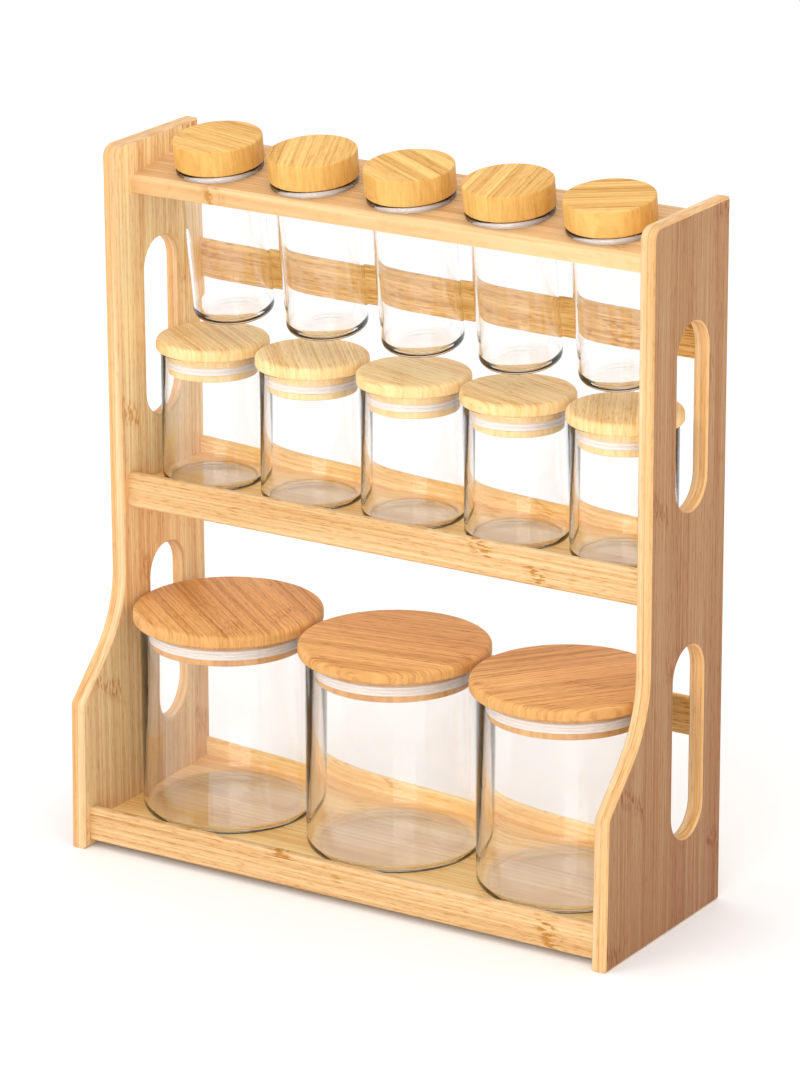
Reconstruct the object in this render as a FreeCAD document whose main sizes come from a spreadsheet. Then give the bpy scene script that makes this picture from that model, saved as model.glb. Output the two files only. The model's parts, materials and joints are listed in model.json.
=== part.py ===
import FreeCAD, Part
import math
import os

import Sketcher

# A bamboo spice rack: two slotted side panels carry a sloping bottle board, a middle shelf
# and a deeper bottom shelf. Five glass bottles hang in the board, five spice jars stand on
# the middle shelf and three canisters on the bottom one. Every vessel has a bamboo lid with
# a silicone ring. X runs along the rack, Y from front to back and Z up; the origin is on
# the floor, under the middle of the panels' feet.

os.makedirs("parts", exist_ok=True)
doc = FreeCAD.newDocument("SpiceRack")


# ---------------------------------------------------------------- sizes

class Size:
    """A length or an angle: its value now, and the formula that the document keeps for it."""

    def __init__(self, text, value):
        self.text = text
        self.value = value

    def __add__(self, other):
        other = as_size(other)
        return Size(f"({self.text} + {other.text})", self.value + other.value)

    def __sub__(self, other):
        other = as_size(other)
        return Size(f"({self.text} - {other.text})", self.value - other.value)

    def __mul__(self, other):
        other = as_size(other)
        return Size(f"({self.text} * {other.text})", self.value * other.value)

    def __truediv__(self, other):
        other = as_size(other)
        return Size(f"({self.text} / {other.text})", self.value / other.value)

    def __neg__(self):
        return Size(f"(0 - {self.text})", -self.value)


def as_size(number):
    if isinstance(number, Size):
        return number
    return Size(f"({number})", float(number))


def sine(angle):
    return Size(f"sin({angle.text})", math.sin(math.radians(angle.value)))


def cosine(angle):
    return Size(f"cos({angle.text})", math.cos(math.radians(angle.value)))


def tangent(angle):
    return Size(f"tan({angle.text})", math.tan(math.radians(angle.value)))


def largest(*choices):
    text = "; ".join(choice.text for choice in choices)
    return Size(f"max({text})", max(choice.value for choice in choices))


class Sheet:
    """A spreadsheet of the document, filled row by row with a name and a value."""

    def __init__(self, name):
        self.name = name
        self.cells = doc.addObject("Spreadsheet::Sheet", name)
        self.row = 0

    def add(self, alias, content, value):
        self.row += 1
        self.cells.set(f"A{self.row}", alias)
        self.cells.set(f"B{self.row}", content)
        self.cells.setAlias(f"B{self.row}", alias)
        return Size(f"{self.name}.{alias}", float(value))


sizes = Sheet("Sizes")
places = Sheet("Places")


def driving(name, value):
    """A size that can be set by itself."""
    return sizes.add(name, str(value), value)


def derived(name, size):
    """A size or a place that follows from others."""
    return places.add(name, f"={size.text}", size.value)


ZERO = as_size(0)

# Side panels
panel_thickness = driving("panel_thickness", 9)
panel_edge_bevel = driving("panel_edge_bevel", 1)
panel_top_margin = driving("panel_top_margin", 10)
panel_top_round = driving("panel_top_round", 7)
toe_lean = driving("toe_lean", 2)
toe_round = driving("toe_round", 6)
waist_radius = driving("waist_radius", 65)
waist_height = driving("waist_height", 155.9)
waist_slope = driving("waist_slope", 45)
slot_width = driving("slot_width", 33)
slot_setback = driving("slot_setback", 38)
slot_foot_rise = driving("slot_foot_rise", 33.5)
upper_slot_drop = driving("upper_slot_drop", 50)
lower_slot_drop = driving("lower_slot_drop", 43.5)

# Shelves, rails and slats
shelf_thickness = driving("shelf_thickness", 9)
bottom_shelf_height = driving("bottom_shelf_height", 15.6)
front_rail_thickness = driving("front_rail_thickness", 6)
front_rail_height = driving("front_rail_height", 20)
front_rail_rise = driving("front_rail_rise", 8)
front_rail_setback = driving("front_rail_setback", 5.5)
front_rail_round = driving("front_rail_round", 2)
slat_thickness = driving("slat_thickness", 4)
slat_edge_bevel = driving("slat_edge_bevel", 0.8)
back_rail_height = driving("back_rail_height", 20)
back_rail_rise = driving("back_rail_rise", 9)
back_slat_height = driving("back_slat_height", 22)
upper_slat_drop = driving("upper_slat_drop", 81.3)
lower_slat_rise = driving("lower_slat_rise", 78.1)
housing_depth = driving("housing_depth", 2.5)

# Bottle board
board_thickness = driving("board_thickness", 9.5)
board_tilt = driving("board_tilt", 8)
board_front_round = driving("board_front_round", 4.5)
board_front_margin = driving("board_front_margin", 5.6)
board_front_setback = driving("board_front_setback", 13.2)
board_dowel_gap = driving("board_dowel_gap", 1)
hole_clearance = driving("hole_clearance", 0.4)
bottle_slat_gap = driving("bottle_slat_gap", 0.7)

# Dowels
dowel_diameter = driving("dowel_diameter", 5)
dowel_length = driving("dowel_length", 22)
dowel_inset = driving("dowel_inset", 14)
rail_dowel_diameter = driving("rail_dowel_diameter", 3.5)
rail_dowel_length = driving("rail_dowel_length", 16)
dowel_in_panel = driving("dowel_in_panel", 6)
dowel_clearance = driving("dowel_clearance", 0.05)
dowel_end_gap = driving("dowel_end_gap", 0.5)

# Bottles and their caps
bottle_diameter = driving("bottle_diameter", 46)
bottle_drop = driving("bottle_drop", 86.7)
bottle_wall = driving("bottle_wall", 2)
bottle_base = driving("bottle_base", 4)
bottle_base_bevel = driving("bottle_base_bevel", 4)
collar_overhang = driving("collar_overhang", 1.6)
collar_thickness = driving("collar_thickness", 3.3)
cap_overhang = driving("cap_overhang", 2.1)
cap_height = driving("cap_height", 14.8)
cap_bevel = driving("cap_bevel", 1)
cap_spacing = driving("cap_spacing", 12.3)
cap_plug_depth = driving("cap_plug_depth", 9)
cap_plug_clearance = driving("cap_plug_clearance", 3.6)
cap_seal_drop = driving("cap_seal_drop", 2.5)
cap_seal_height = driving("cap_seal_height", 4)

# Spice jars and their lids
spice_diameter = driving("spice_diameter", 59)
spice_height = driving("spice_height", 76.4)
spice_wall = driving("spice_wall", 2.5)
spice_base = driving("spice_base", 3.2)
spice_base_bevel = driving("spice_base_bevel", 3.5)
spice_lid_overhang = driving("spice_lid_overhang", 2.5)
spice_lid_spacing = driving("spice_lid_spacing", 2.6)
spice_seal_drop = driving("spice_seal_drop", 4.8)
spice_seal_height = driving("spice_seal_height", 4.6)
spice_back_gap = driving("spice_back_gap", 3)
spice_front_gap = driving("spice_front_gap", 3)
spice_headroom = driving("spice_headroom", 9.1)

# Canisters and their lids
canister_diameter = driving("canister_diameter", 100)
canister_height = driving("canister_height", 113.1)
canister_wall = driving("canister_wall", 3)
canister_base = driving("canister_base", 3.6)
canister_base_bevel = driving("canister_base_bevel", 4)
canister_lid_overhang = driving("canister_lid_overhang", 4)
canister_lid_spacing = driving("canister_lid_spacing", 3.2)
canister_seal_drop = driving("canister_seal_drop", 3.8)
canister_seal_height = driving("canister_seal_height", 5.7)
canister_back_gap = driving("canister_back_gap", 3.5)
canister_front_gap = driving("canister_front_gap", 6)
canister_headroom = driving("canister_headroom", 54.3)

# What every lid shares
lid_thickness = driving("lid_thickness", 7)
lid_edge_bevel = driving("lid_edge_bevel", 2.2)
lid_plug_depth = driving("lid_plug_depth", 13.2)
lid_gap = driving("lid_gap", 0.5)
row_end_gap = driving("row_end_gap", 0.8)
plug_clearance = driving("plug_clearance", 1)
seal_groove = driving("seal_groove", 1.8)
seal_clearance = driving("seal_clearance", 0.15)

BOTTLES = 5
SPICE_JARS = 5
CANISTERS = 3


# ---------------------------------------------------------------- how the pieces set one another

bottle_radius = derived("bottle_radius", bottle_diameter / 2)
hole_radius = derived("hole_radius", bottle_radius + hole_clearance)
cap_radius = derived("cap_radius", bottle_radius + cap_overhang)
spice_radius = derived("spice_radius", spice_diameter / 2)
spice_lid_radius = derived("spice_lid_radius", spice_radius + spice_lid_overhang)
canister_radius = derived("canister_radius", canister_diameter / 2)
canister_lid_radius = derived("canister_lid_radius", canister_radius + canister_lid_overhang)


# The board's dowels reach in beside the end bottles, so these stay clear of the dowels' tips
bottle_end_gap = derived(
    "bottle_end_gap",
    dowel_length - dowel_in_panel + dowel_end_gap + board_dowel_gap - (cap_radius - hole_radius))


def row_length(count, radius, spacing, end_gap):
    """Length of a row of round pieces that stand side by side between the panels."""
    return radius * (2 * count) + spacing * (count - 1) + end_gap * 2


inner_width = derived("inner_width", largest(
    row_length(SPICE_JARS, spice_lid_radius, spice_lid_spacing, row_end_gap),
    row_length(CANISTERS, canister_lid_radius, canister_lid_spacing, row_end_gap),
    row_length(BOTTLES, cap_radius, cap_spacing, bottle_end_gap)))
bottle_pitch = derived("bottle_pitch", cap_radius * 2 + cap_spacing)
spice_pitch = derived(
    "spice_pitch", (inner_width - (row_end_gap + spice_lid_radius) * 2) / (SPICE_JARS - 1))
canister_pitch = derived(
    "canister_pitch", (inner_width - (row_end_gap + canister_lid_radius) * 2) / (CANISTERS - 1))

# Across the depth, measured forwards from the rear edges of the panels
spice_setback = derived("spice_setback", slat_thickness + spice_back_gap + spice_radius)
canister_setback = derived("canister_setback", slat_thickness + canister_back_gap + canister_radius)
hole_setback = derived(
    "hole_setback",
    bottle_radius + sine(board_tilt) * upper_slat_drop
    + cosine(board_tilt) * (slat_thickness + bottle_slat_gap))
board_depth = derived("board_depth", hole_setback + hole_radius + board_front_margin)
rail_room = derived("rail_room", front_rail_thickness + front_rail_setback)
top_depth = derived("top_depth", largest(
    spice_setback + spice_radius + spice_front_gap + rail_room,
    board_depth * cosine(board_tilt) + board_front_setback))
foot_depth = derived("foot_depth", largest(
    canister_setback + canister_radius + canister_front_gap + rail_room,
    top_depth + waist_radius * (as_size(1) - cosine(waist_slope)) + toe_lean + toe_round))

# Up the height, measured from the floor
canister_top = derived("canister_top", bottom_shelf_height + canister_height + lid_gap + lid_thickness)
middle_shelf_height = derived(
    "middle_shelf_height", canister_top + canister_headroom + front_rail_height - front_rail_rise)
spice_top = derived("spice_top", middle_shelf_height + spice_height + lid_gap + lid_thickness)
board_rear_height = derived(
    "board_rear_height",
    spice_top + spice_headroom + bottle_drop * cosine(board_tilt)
    + (bottle_radius + hole_setback) * sine(board_tilt))
panel_height = derived("panel_height", board_rear_height + panel_top_margin)
upper_slat_height = derived("upper_slat_height", board_rear_height - upper_slat_drop)
lower_slat_height = derived("lower_slat_height", bottom_shelf_height + lower_slat_rise)

doc.recompute()


# ---------------------------------------------------------------- drawing and making

def origin_plane(body, role):
    return next(part for part in body.Origin.OriginFeatures if part.Role == role)


def new_body(label):
    body = doc.addObject("PartDesign::Body", label)
    body.Label = label
    return body


def new_sketch(body, name, plane, offset=None):
    """A sketch on one of the body's own origin planes, or at a distance from it."""
    sketch = body.newObject("Sketcher::SketchObject", name)
    sketch.AttachmentSupport = [(origin_plane(body, plane), "")]
    sketch.MapMode = "FlatFace"
    if offset is not None:
        sketch.AttachmentOffset = FreeCAD.Placement(
            FreeCAD.Vector(0, 0, offset.value), FreeCAD.Rotation())
        sketch.setExpression("AttachmentOffset.Base.z", offset.text)
    return sketch


def dimension(sketch, constraint, size):
    number = sketch.addConstraint(constraint)
    sketch.setExpression(f"Constraints[{number}]", size.text)


def pin(sketch, edge, vertex, x, y):
    """Hold one vertex at a place measured from the sketch's origin."""
    if x is ZERO:
        sketch.addConstraint(Sketcher.Constraint("PointOnObject", edge, vertex, -2))
    else:
        dimension(sketch, Sketcher.Constraint("DistanceX", -1, 1, edge, vertex, x.value), x)
    if y is ZERO:
        sketch.addConstraint(Sketcher.Constraint("PointOnObject", edge, vertex, -1))
    else:
        dimension(sketch, Sketcher.Constraint("DistanceY", -1, 1, edge, vertex, y.value), y)


def arc_between(start, end, radius, turn):
    """The shorter arc from start to end; turn is 1 when it runs anticlockwise and -1 when not."""
    chord = end - start
    rise = math.sqrt(radius ** 2 - chord.Length ** 2 / 4)
    across = FreeCAD.Vector(-chord.y, chord.x, 0).normalize()
    centre = (start + end) * 0.5 + across * (rise * turn)
    first, last = (start, end) if turn > 0 else (end, start)
    begin = math.atan2(first.y - centre.y, first.x - centre.x)
    finish = math.atan2(last.y - centre.y, last.x - centre.x)
    circle = Part.Circle(centre, FreeCAD.Vector(0, 0, 1), radius)
    return Part.ArcOfCircle(circle, begin, finish)


def closed_outline(sketch, corners):
    """Join the corners in order. A corner is (x, y), or (x, y, radius, turn) where an arc
    leads from it to the next one."""
    first_edge = sketch.GeometryCount
    count = len(corners)
    ends = []
    for index, corner in enumerate(corners):
        following = corners[(index + 1) % count]
        start = FreeCAD.Vector(corner[0].value, corner[1].value, 0)
        end = FreeCAD.Vector(following[0].value, following[1].value, 0)
        if len(corner) == 2:
            sketch.addGeometry(Part.LineSegment(start, end))
            ends.append((1, 2))
        else:
            radius, turn = corner[2], corner[3]
            edge = sketch.addGeometry(arc_between(start, end, radius.value, turn))
            dimension(sketch, Sketcher.Constraint("Radius", edge, radius.value), radius)
            ends.append((1, 2) if turn > 0 else (2, 1))
    for index, corner in enumerate(corners):
        edge = first_edge + index
        following = first_edge + (index + 1) % count
        meeting = Sketcher.Constraint(
            "Coincident", edge, ends[index][1], following, ends[(index + 1) % count][0])
        sketch.addConstraint(meeting)
        pin(sketch, edge, ends[index][0], corner[0], corner[1])


def rectangle(sketch, left, right, low, high):
    closed_outline(sketch, [(left, low), (right, low), (right, high), (left, high)])


def upright_slot(sketch, x, low, high, width):
    """A slot with half-round ends, standing on end."""
    radius = width / 2
    half = radius.value
    foot = FreeCAD.Vector(x.value, low.value + half, 0)
    head = FreeCAD.Vector(x.value, high.value - half, 0)
    side = FreeCAD.Vector(half, 0, 0)
    normal = FreeCAD.Vector(0, 0, 1)
    lower = sketch.addGeometry(Part.ArcOfCircle(Part.Circle(foot, normal, half), math.pi, 2 * math.pi))
    upper = sketch.addGeometry(Part.ArcOfCircle(Part.Circle(head, normal, half), 0, math.pi))
    right = sketch.addGeometry(Part.LineSegment(foot + side, head + side))
    left = sketch.addGeometry(Part.LineSegment(head - side, foot - side))
    for edge, centre_height in ((lower, low + radius), (upper, high - radius)):
        pin(sketch, edge, 3, x, centre_height)
        dimension(sketch, Sketcher.Constraint("Radius", edge, half), radius)
        for vertex in (1, 2):
            sketch.addConstraint(Sketcher.Constraint("Horizontal", edge, vertex, edge, 3))
    for first, last in (((lower, 2), (right, 1)), ((right, 2), (upper, 1)),
                        ((upper, 2), (left, 1)), ((left, 2), (lower, 1))):
        sketch.addConstraint(Sketcher.Constraint("Coincident", *first, *last))


def circle(sketch, x, y, radius):
    centre = FreeCAD.Vector(x.value, y.value, 0)
    edge = sketch.addGeometry(Part.Circle(centre, FreeCAD.Vector(0, 0, 1), radius.value))
    pin(sketch, edge, 3, x, y)
    dimension(sketch, Sketcher.Constraint("Radius", edge, radius.value), radius)


def extrude(body, kind, name, sketch, length, reverse=False, both_ways=False):
    """A Pad or a Pocket of the sketch, with its length bound to a size."""
    feature = body.newObject(f"PartDesign::{kind}", name)
    feature.Profile = sketch
    feature.Length = length.value
    feature.setExpression("Length", length.text)
    feature.Reversed = reverse
    if both_ways:
        feature.SideType = "Symmetric"
    sketch.Visibility = False
    return feature


def mirror_to_other_end(body, feature):
    copy = body.newObject("PartDesign::Mirrored", "OtherEnd")
    copy.Originals = [feature]
    copy.MirrorPlane = (origin_plane(body, "YZ_Plane"), [""])
    body.Tip = copy


def dress_edges(body, kind, name, size, wanted):
    """A Fillet or a Chamfer on the edges of the body's last feature that the test picks."""
    doc.recompute()
    base = body.Tip
    names = [f"Edge{index + 1}" for index, edge in enumerate(base.Shape.Edges) if wanted(edge)]
    feature = body.newObject(f"PartDesign::{kind}", name)
    feature.Base = (base, names)
    feature.setExpression("Radius" if kind == "Fillet" else "Size", size.text)


def turned(label, corners):
    """A body turned about its own Z axis from half an outline."""
    body = new_body(label)
    sketch = new_sketch(body, "Outline", "XZ_Plane")
    closed_outline(sketch, corners)
    revolution = body.newObject("PartDesign::Revolution", "Turning")
    revolution.Profile = sketch
    revolution.ReferenceAxis = (sketch, ["V_Axis"])
    revolution.Angle = 360
    sketch.Visibility = False
    return body


def put(piece, x, y, z, tilt=ZERO):
    """Place a piece; tilt turns it about the X axis, so that its front goes down."""
    place = FreeCAD.Vector(x.value, y.value, z.value)
    piece.Placement = FreeCAD.Placement(place, FreeCAD.Rotation(FreeCAD.Vector(1, 0, 0), tilt.value))
    piece.setExpression("Placement.Base.x", x.text)
    piece.setExpression("Placement.Base.y", y.text)
    piece.setExpression("Placement.Base.z", z.text)
    if tilt is not ZERO:
        piece.setExpression("Placement.Rotation.Angle", f"{tilt.text} * 1 deg")


def runs_along_rack(edge):
    ends = edge.Vertexes
    if len(ends) != 2:
        return False
    step = ends[1].Point - ends[0].Point
    return step.Length > 1 and abs(abs(step.x) - step.Length) < 1e-6


sub_parts = []
rear = foot_depth / 2


# ---------------------------------------------------------------- where the dowels go

def board_point(back, up):
    """A place in the bottle board's own section, seen from the panels' lower rear corner."""
    across = back * cosine(board_tilt) - up * sine(board_tilt)
    height = board_rear_height + back * sine(board_tilt) + up * cosine(board_tilt)
    return across, height


shelf_mid = shelf_thickness / 2
board_mid = board_thickness / 2
middle_front = derived("middle_front", -(top_depth - rail_room))
bottom_front = derived("bottom_front", -(foot_depth - rail_room))


def dowel_rows(front, back):
    """The two dowels at a shelf's end, inside its front and rear edges."""
    return (front + dowel_inset, back - dowel_inset)


middle_dowels = [
    (y, middle_shelf_height - shelf_mid) for y in dowel_rows(middle_front, -slat_thickness)]
bottom_dowels = [
    (y, bottom_shelf_height - shelf_mid) for y in dowel_rows(bottom_front, -slat_thickness)]
board_dowels = [
    board_point(y, -board_mid) for y in dowel_rows(-board_depth, ZERO)]
front_rail_mid = front_rail_height / 2 - front_rail_rise
rail_dowels = [
    (middle_front - front_rail_thickness / 2, middle_shelf_height - front_rail_mid),
    (bottom_front - front_rail_thickness / 2, bottom_shelf_height - front_rail_mid)]
dowel_bore = dowel_diameter / 2 + dowel_clearance
rail_dowel_bore = rail_dowel_diameter / 2 + dowel_clearance
bore_in_panel = dowel_in_panel + dowel_end_gap
bore_in_shelf = dowel_length - dowel_in_panel + dowel_end_gap
bore_in_rail = rail_dowel_length - dowel_in_panel + dowel_end_gap

back_housings = [
    (middle_shelf_height + back_rail_rise - back_rail_height, back_rail_height),
    (bottom_shelf_height + back_rail_rise - back_rail_height, back_rail_height),
    (upper_slat_height, back_slat_height),
    (lower_slat_height, back_slat_height)]


# ---------------------------------------------------------------- side panels

def side_panel(label, side):
    """One panel: deep foot, sloping shoulder, waist curve and straight top, with two slots.
    Its origin is at the lower rear corner of its inner face; side is 1 for the right one."""
    body = new_body(label)
    sketch = new_sketch(body, "Outline", "YZ_Plane")
    waist_front = top_depth + waist_radius * (as_size(1) - cosine(waist_slope))
    waist_foot = waist_height - waist_radius * sine(waist_slope)
    toe_front = foot_depth - toe_lean
    toe_height = waist_foot - (toe_front - waist_front) * tangent(waist_slope)
    closed_outline(sketch, [
        (ZERO, ZERO),
        (ZERO, panel_height),
        (-top_depth, panel_height),
        (-top_depth, waist_height, waist_radius, -1),
        (-waist_front, waist_foot),
        (-toe_front, toe_height),
        (-foot_depth, ZERO)])
    upright_slot(sketch, -slot_setback, middle_shelf_height + slot_foot_rise,
                 board_rear_height - upper_slot_drop, slot_width)
    upright_slot(sketch, -slot_setback, bottom_shelf_height + slot_foot_rise,
                 middle_shelf_height - lower_slot_drop, slot_width)
    extrude(body, "Pad", "Board", sketch, panel_thickness, reverse=side < 0)

    def top_front_corner(edge):
        spot = edge.CenterOfMass
        near_front = abs(spot.y + top_depth.value) < 0.01
        return runs_along_rack(edge) and near_front and abs(spot.z - panel_height.value) < 0.01

    def toe_corner(edge):
        spot = edge.CenterOfMass
        near_front = abs(spot.y + toe_front.value) < 0.01
        return runs_along_rack(edge) and near_front and abs(spot.z - toe_height.value) < 0.01

    def on_either_face(edge):
        box = edge.BoundBox
        on_inner = abs(box.XMin) < 0.001
        on_outer = abs(abs(box.XMin) - panel_thickness.value) < 0.001
        return box.XLength < 0.001 and (on_inner or on_outer)

    dress_edges(body, "Fillet", "TopCorner", panel_top_round, top_front_corner)
    dress_edges(body, "Fillet", "ToeCorner", toe_round, toe_corner)
    dress_edges(body, "Chamfer", "EasedEdges", panel_edge_bevel, on_either_face)

    housings = new_sketch(body, "Housings", "YZ_Plane")
    for low, height in back_housings:
        rectangle(housings, -slat_thickness, panel_edge_bevel, low, low + height)
    extrude(body, "Pocket", "SlatHousings", housings, housing_depth, reverse=side > 0)

    bores = new_sketch(body, "Bores", "YZ_Plane")
    for y, z in middle_dowels + bottom_dowels + board_dowels:
        circle(bores, y, z, dowel_bore)
    for y, z in rail_dowels:
        circle(bores, y, z, rail_dowel_bore)
    extrude(body, "Pocket", "DowelBores", bores, bore_in_panel, reverse=side > 0)
    put(body, inner_width * (side / 2), rear, ZERO)
    return body


sub_parts.append(side_panel("side_panel_left", -1))
sub_parts.append(side_panel("side_panel_right", 1))


# ---------------------------------------------------------------- boards between the panels

def end_bores(body, spots, radius, depth):
    """Blind bores into both ends of a board that runs from panel to panel."""
    bores = new_sketch(body, "EndBores", "YZ_Plane", offset=inner_width / 2)
    for y, z in spots:
        circle(bores, y, z, radius)
    pocket = extrude(body, "Pocket", "Bores", bores, depth)
    mirror_to_other_end(body, pocket)


def bottle_board():
    """The sloping board, drawn level from its top rear edge and tilted as a whole. Its rear
    edge is cut so that it stands upright, flush with the panels."""
    body = new_body("bottle_board")
    section = new_sketch(body, "Section", "YZ_Plane")
    front = -board_depth
    round_start = -(board_depth - board_front_round)
    rear_cut = -(board_thickness * tangent(board_tilt))
    closed_outline(section, [
        (ZERO, ZERO),
        (round_start, ZERO, board_front_round, 1),
        (front, -board_front_round),
        (front, -board_thickness),
        (rear_cut, -board_thickness)])
    extrude(body, "Pad", "Board", section, inner_width, both_ways=True)
    hole = new_sketch(body, "FirstHole", "XY_Plane")
    circle(hole, -(bottle_pitch * ((BOTTLES - 1) / 2)), -hole_setback, hole_radius)
    pocket = extrude(body, "Pocket", "BottleHole", hole, board_thickness)
    row = body.newObject("PartDesign::LinearPattern", "BottleHoles")
    row.Originals = [pocket]
    row.Direction = (hole, ["H_Axis"])
    row.Length = (bottle_pitch * (BOTTLES - 1)).value
    row.setExpression("Length", (bottle_pitch * (BOTTLES - 1)).text)
    row.Occurrences = BOTTLES
    body.Tip = row
    spots = [(y, -board_mid) for y in dowel_rows(-board_depth, ZERO)]
    end_bores(body, spots, dowel_bore, bore_in_shelf)
    put(body, ZERO, rear, board_rear_height, board_tilt)
    return body


def shelf(label, front, height):
    """A shelf board that fills the depth between its front rail and its back rail."""
    body = new_body(label)
    section = new_sketch(body, "Section", "YZ_Plane")
    rectangle(section, front, -slat_thickness, -shelf_thickness, ZERO)
    extrude(body, "Pad", "Board", section, inner_width, both_ways=True)
    spots = [(y, -shelf_mid) for y in dowel_rows(front, -slat_thickness)]
    end_bores(body, spots, dowel_bore, bore_in_shelf)
    put(body, ZERO, rear, height)
    return body


def front_rail(label, back_face, height):
    """The lip along a shelf's front, which keeps the jars in."""
    body = new_body(label)
    section = new_sketch(body, "Section", "YZ_Plane")
    low = -(front_rail_height - front_rail_rise)
    rectangle(section, back_face - front_rail_thickness, back_face, low, front_rail_rise)
    extrude(body, "Pad", "Rail", section, inner_width, both_ways=True)
    dress_edges(body, "Fillet", "RoundedEdges", front_rail_round, runs_along_rack)
    spots = [(back_face - front_rail_thickness / 2, -front_rail_mid)]
    end_bores(body, spots, rail_dowel_bore, bore_in_rail)
    put(body, ZERO, rear, height)
    return body


def back_strip(label, low, height):
    """A thin strip across the back, flush with the panels and let into both of them."""
    body = new_body(label)
    section = new_sketch(body, "Section", "YZ_Plane")
    rectangle(section, -slat_thickness, ZERO, ZERO, height)
    extrude(body, "Pad", "Strip", section, inner_width + housing_depth * 2, both_ways=True)
    dress_edges(body, "Chamfer", "EasedEdges", slat_edge_bevel, runs_along_rack)
    put(body, ZERO, rear, low)
    return body


sub_parts.append(bottle_board())
sub_parts.append(shelf("middle_shelf", middle_front, middle_shelf_height))
sub_parts.append(shelf("bottom_shelf", bottom_front, bottom_shelf_height))
sub_parts.append(front_rail("middle_front_rail", middle_front, middle_shelf_height))
sub_parts.append(front_rail("bottom_front_rail", bottom_front, bottom_shelf_height))
strip_labels = ("middle_back_rail", "bottom_back_rail", "upper_back_slat", "lower_back_slat")
for strip_label, (strip_low, strip_height) in zip(strip_labels, back_housings):
    sub_parts.append(back_strip(strip_label, strip_low, strip_height))


def dowel_set(label, spots, diameter, length):
    """All dowels of one size, lying along X across the inner faces of both panels."""
    dowels = []
    for side in (-1, 1):
        inner_face = inner_width * (side / 2)
        left_end = inner_face + dowel_in_panel - length if side > 0 else inner_face - dowel_in_panel
        for back, height in spots:
            dowel = doc.addObject("Part::Cylinder", "Dowel")
            dowel.setExpression("Radius", (diameter / 2).text)
            dowel.setExpression("Height", length.text)
            dowel.Placement.Rotation = FreeCAD.Rotation(FreeCAD.Vector(0, 1, 0), 90)
            dowel.setExpression("Placement.Base.x", left_end.text)
            dowel.setExpression("Placement.Base.y", (rear + back).text)
            dowel.setExpression("Placement.Base.z", height.text)
            dowels.append(dowel)
    dowel_group = doc.addObject("Part::Compound", label)
    dowel_group.Label = label
    dowel_group.Links = dowels
    return dowel_group


sub_parts.append(dowel_set(
    "shelf_dowels", middle_dowels + bottom_dowels + board_dowels, dowel_diameter, dowel_length))
sub_parts.append(dowel_set("rail_dowels", rail_dowels, rail_dowel_diameter, rail_dowel_length))


# ---------------------------------------------------------------- glass, lids and seals

def jar(label, radius, height, wall, base, base_bevel):
    """A straight glass jar that stands on its base."""
    inside = radius - wall
    return turned(label, [
        (ZERO, ZERO),
        (radius - base_bevel, ZERO),
        (radius, base_bevel),
        (radius, height),
        (inside, height),
        (inside, base),
        (ZERO, base)])


def bottle(label):
    """A bottle that hangs by its collar; its origin is in the board's top face."""
    inside = bottle_radius - bottle_wall
    collar_radius = bottle_radius + collar_overhang
    floor = -(bottle_drop - bottle_base)
    return turned(label, [
        (ZERO, -bottle_drop),
        (bottle_radius - bottle_base_bevel, -bottle_drop),
        (bottle_radius, -(bottle_drop - bottle_base_bevel)),
        (bottle_radius, ZERO),
        (collar_radius, ZERO),
        (collar_radius, collar_thickness),
        (inside, collar_thickness),
        (inside, floor),
        (ZERO, floor)])


def grooved_lid(label, radius, thickness, bevel, plug_radius, plug_depth, drop, height):
    """A turned bamboo lid: a disc, and a plug with a groove for its ring. Its origin is
    under the disc; drop and height say where the groove lies below it."""
    groove_radius = plug_radius - seal_groove
    return turned(label, [
        (ZERO, -plug_depth),
        (plug_radius, -plug_depth),
        (plug_radius, -(drop + height)),
        (groove_radius, -(drop + height)),
        (groove_radius, -drop),
        (plug_radius, -drop),
        (plug_radius, ZERO),
        (radius, ZERO),
        (radius, thickness - bevel),
        (radius - bevel, thickness),
        (ZERO, thickness)])


def seal(label, plug_radius, clearance, drop, height):
    """A silicone ring that fills a plug's groove and reaches for the glass."""
    inner_radius = plug_radius - seal_groove
    outer_radius = plug_radius + clearance - seal_clearance
    return turned(label, [
        (inner_radius, -(drop + height)),
        (outer_radius, -(drop + height)),
        (outer_radius, -drop),
        (inner_radius, -drop)])


def row_places(count, pitch):
    """Number and place along X of each piece in a row centred on the rack."""
    return [(number, pitch * (number - (count + 1) / 2)) for number in range(1, count + 1)]


bottle_y, bottle_z = board_point(-hole_setback, ZERO)
cap_y, cap_z = board_point(-hole_setback, collar_thickness + lid_gap)
cap_plug = bottle_radius - bottle_wall - cap_plug_clearance
for number, x in row_places(BOTTLES, bottle_pitch):
    glass = bottle(f"bottle_{number}")
    cap = grooved_lid(f"bottle_cap_{number}", cap_radius, cap_height, cap_bevel, cap_plug,
                      cap_plug_depth, cap_seal_drop, cap_seal_height)
    ring = seal(f"bottle_seal_{number}", cap_plug, cap_plug_clearance,
                cap_seal_drop, cap_seal_height)
    put(glass, x, rear + bottle_y, bottle_z, board_tilt)
    put(cap, x, rear + cap_y, cap_z, board_tilt)
    put(ring, x, rear + cap_y, cap_z, board_tilt)
    sub_parts += [glass, cap, ring]

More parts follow.
